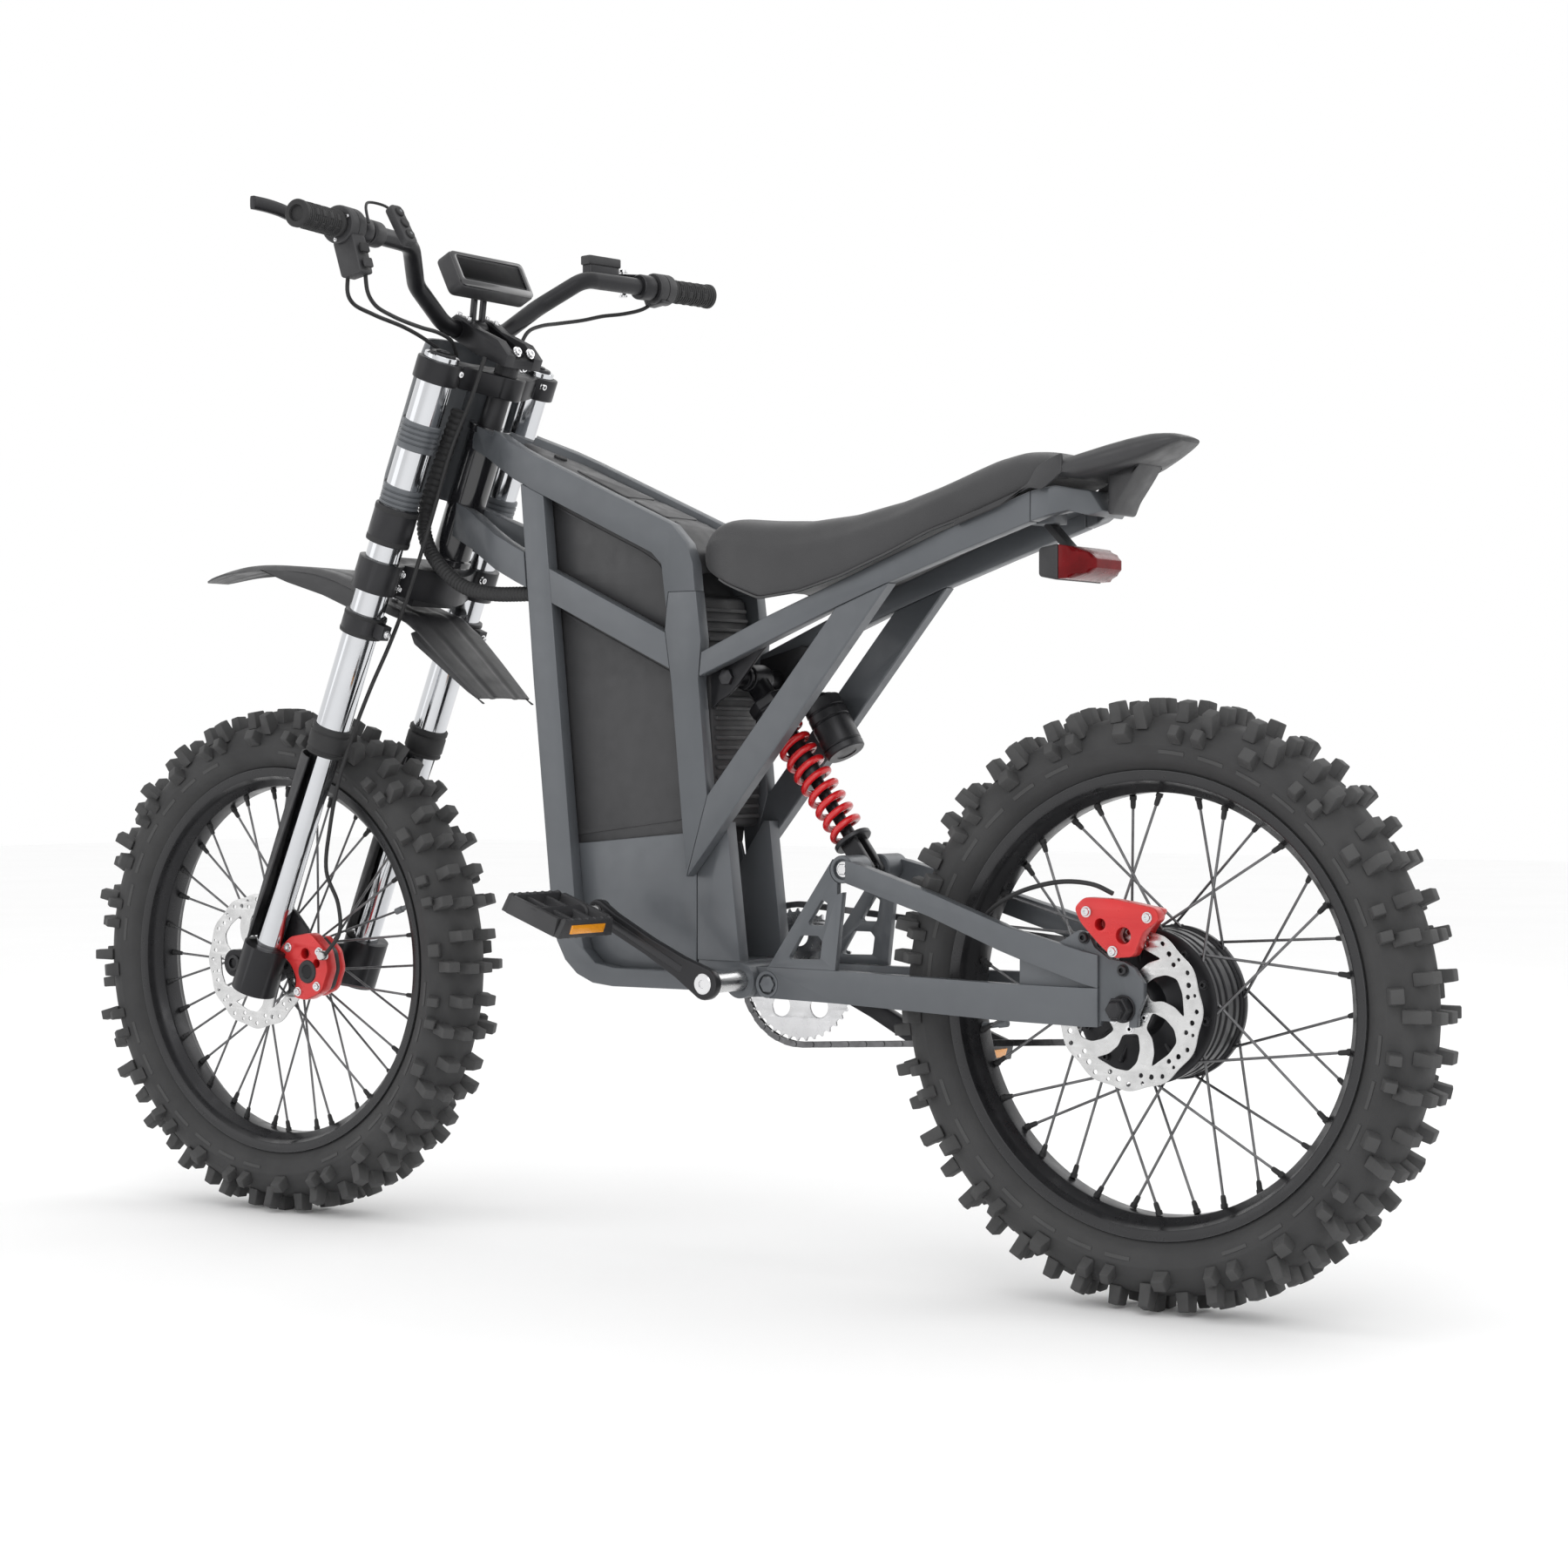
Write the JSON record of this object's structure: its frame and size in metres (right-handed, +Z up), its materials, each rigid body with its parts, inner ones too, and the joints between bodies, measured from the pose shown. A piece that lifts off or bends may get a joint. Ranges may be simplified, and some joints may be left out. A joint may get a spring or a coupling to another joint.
{
  "type": "electric off-road motorcycle",
  "caption": "Off-road electric motorcycle with pedals: spoked knobby wheels, upside-down fork, welded frame, battery box, long seat and rear swingarm with coil shock.",
  "frame": {"origin": "midway between the axles in plan, on the ground under the tyres", "axes": "+X forward, +Y to the rider's left, +Z up"},
  "size_m": [1.9544, 0.7932, 1.253],
  "materials": {
    "frame_paint": "satin",
    "black_metal": "satin",
    "black_plastic": "matte",
    "gloss_black": "gloss",
    "case_plastic": "matte",
    "vinyl": "satin",
    "chrome": "polished",
    "steel": "brushed",
    "alloy": "satin",
    "tyre": "matte",
    "rim_black": "satin",
    "red_paint": "gloss",
    "rubber": "matte",
    "red_lens": "gloss",
    "cell_pack": "matte"
  },
  "bodies": {
    "chassis": {"head_tube": "gloss_black", "upper_frame": "frame_paint", "frame_posts": "frame_paint", "subframe": "frame_paint", "bottom_bracket": "frame_paint", "battery_case": "case_plastic", "battery_pack": "cell_pack", "tank_cover": "case_plastic", "shock_mount": "black_metal", "seat": "vinyl", "tail_fender": "black_plastic", "tail_light": "black_plastic", "tail_lens": "red_lens", "cable_duct": "rubber"},
    "swingarm": {"swing_arms": "frame_paint", "arm_plates": "frame_paint", "arm_bosses": "frame_paint", "rear_axle": "black_metal", "rear_caliper": "red_paint", "rear_hose": "rubber", "chain": "steel"},
    "rear_wheel": {"rear_tyre": "tyre", "rear_rim": "rim_black", "rear_spokes": "steel", "hub_motor": "black_metal", "rear_disc": "steel"},
    "steering": {"upper_crown": "black_metal", "lower_crown": "black_metal", "fork_tubes": "chrome", "stem": "black_metal", "handlebar": "black_metal", "left_grip": "rubber", "display": "gloss_black", "headlight": "frame_paint", "front_fender": "black_plastic", "switch_pods": "black_plastic", "control_cables": "rubber"},
    "fork_lower": {"stanchions": "chrome", "fork_castings": "black_metal", "fork_guards": "black_plastic", "front_axle": "black_metal", "front_caliper": "red_paint", "front_hose": "rubber"},
    "front_wheel": {"front_tyre": "tyre", "front_rim": "rim_black", "front_spokes": "steel", "front_hub": "black_metal", "front_disc": "steel"},
    "throttle": {"throttle_grip": "rubber"},
    "left_brake_lever": {"left_lever": "black_metal"},
    "right_brake_lever": {"right_lever": "black_metal"},
    "horn_key": {"horn_button": "rubber"},
    "light_key": {"light_button": "rubber"},
    "crank": {"crankset": "black_metal", "chainring": "alloy"},
    "left_pedal_body": {"left_pedal": "black_plastic"},
    "right_pedal_body": {"right_pedal": "black_plastic"},
    "shock_upper": {"shock_body": "black_metal", "shock_spring": "red_paint"},
    "shock_lower": {"shock_shaft": "black_metal"}
  },
  "joints": [
    {"name": "steer", "type": "hinge", "parent": "chassis", "child": "steering", "pos_m": [0.27495, 0, 1.08209], "axis": [-0.3755, 0, 0.9268], "range_deg": [-35, 35]},
    {"name": "fork_travel", "type": "slide", "parent": "steering", "child": "fork_lower", "axis": [-0.3755, 0, 0.9268], "range_m": [0, 0.11], "stiffness_N_per_m": 9000, "springref_m": -0.05, "deforming": ["front_hose"]},
    {"name": "front_wheel_spin", "type": "hinge", "parent": "fork_lower", "child": "front_wheel", "pos_m": [0.6472, 0, 0.33], "axis": [0, 1, 0], "continuous": true},
    {"name": "rear_arm", "type": "hinge", "parent": "chassis", "child": "swingarm", "pos_m": [-0.1636, 0, 0.3337], "axis": [0, 1, 0], "range_deg": [0, 12], "stiffness_Nm_per_rad": 2600, "springref_deg": -4.58, "deforming": ["chain"]},
    {"name": "rear_wheel_spin", "type": "hinge", "parent": "swingarm", "child": "rear_wheel", "pos_m": [-0.6472, 0, 0.33], "axis": [0, 1, 0], "continuous": true},
    {"name": "shock_swing", "type": "hinge", "parent": "chassis", "child": "shock_upper", "pos_m": [-0.104, 0, 0.689], "axis": [0, 1, 0], "range_deg": [-3.62, 0.5]},
    {"name": "shock_stroke", "type": "slide", "parent": "shock_upper", "child": "shock_lower", "axis": [0.5963, 0, 0.8027], "range_m": [0, 0.03324], "deforming": ["shock_spring"]},
    {"name": "crank_spin", "type": "hinge", "parent": "chassis", "child": "crank", "pos_m": [-0.119, 0, 0.336], "axis": [0, 1, 0], "continuous": true},
    {"name": "left_pedal_spin", "type": "hinge", "parent": "crank", "child": "left_pedal_body", "pos_m": [0.03748, 0.189, 0.41436], "axis": [0, 1, 0], "continuous": true},
    {"name": "right_pedal_spin", "type": "hinge", "parent": "crank", "child": "right_pedal_body", "pos_m": [-0.27548, -0.189, 0.25764], "axis": [0, 1, 0], "continuous": true},
    {"name": "throttle_twist", "type": "hinge", "parent": "steering", "child": "throttle", "pos_m": [0.26112, -0.35, 1.216], "axis": [-0.134, -0.9909, 0.0108], "range_deg": [0, 65], "stiffness_Nm_per_rad": 0.4, "springref_deg": -11.46},
    {"name": "left_brake_pull", "type": "hinge", "parent": "steering", "child": "left_brake_lever", "pos_m": [0.306, 0.273, 1.225], "axis": [0, 0, 1], "range_deg": [0, 16], "stiffness_Nm_per_rad": 1, "springref_deg": -5.73},
    {"name": "right_brake_pull", "type": "hinge", "parent": "steering", "child": "right_brake_lever", "pos_m": [0.306, -0.273, 1.225], "axis": [0, 0, -1], "range_deg": [0, 16], "stiffness_Nm_per_rad": 1, "springref_deg": -5.73},
    {"name": "horn_press", "type": "slide", "parent": "steering", "child": "horn_key", "axis": [0.9549, 0, -0.2971], "range_m": [0, 0.0018], "stiffness_N_per_m": 400, "springref_m": -0.001},
    {"name": "light_press", "type": "slide", "parent": "steering", "child": "light_key", "axis": [0.9549, 0, -0.2971], "range_m": [0, 0.0018], "stiffness_N_per_m": 400, "springref_m": -0.001}
  ],
  "couplings": [
    {"joint": "shock_swing", "follows": "rear_arm", "ratio": -0.2599},
    {"joint": "shock_stroke", "follows": "rear_arm", "m_per_rad": 0.15632}
  ]
}
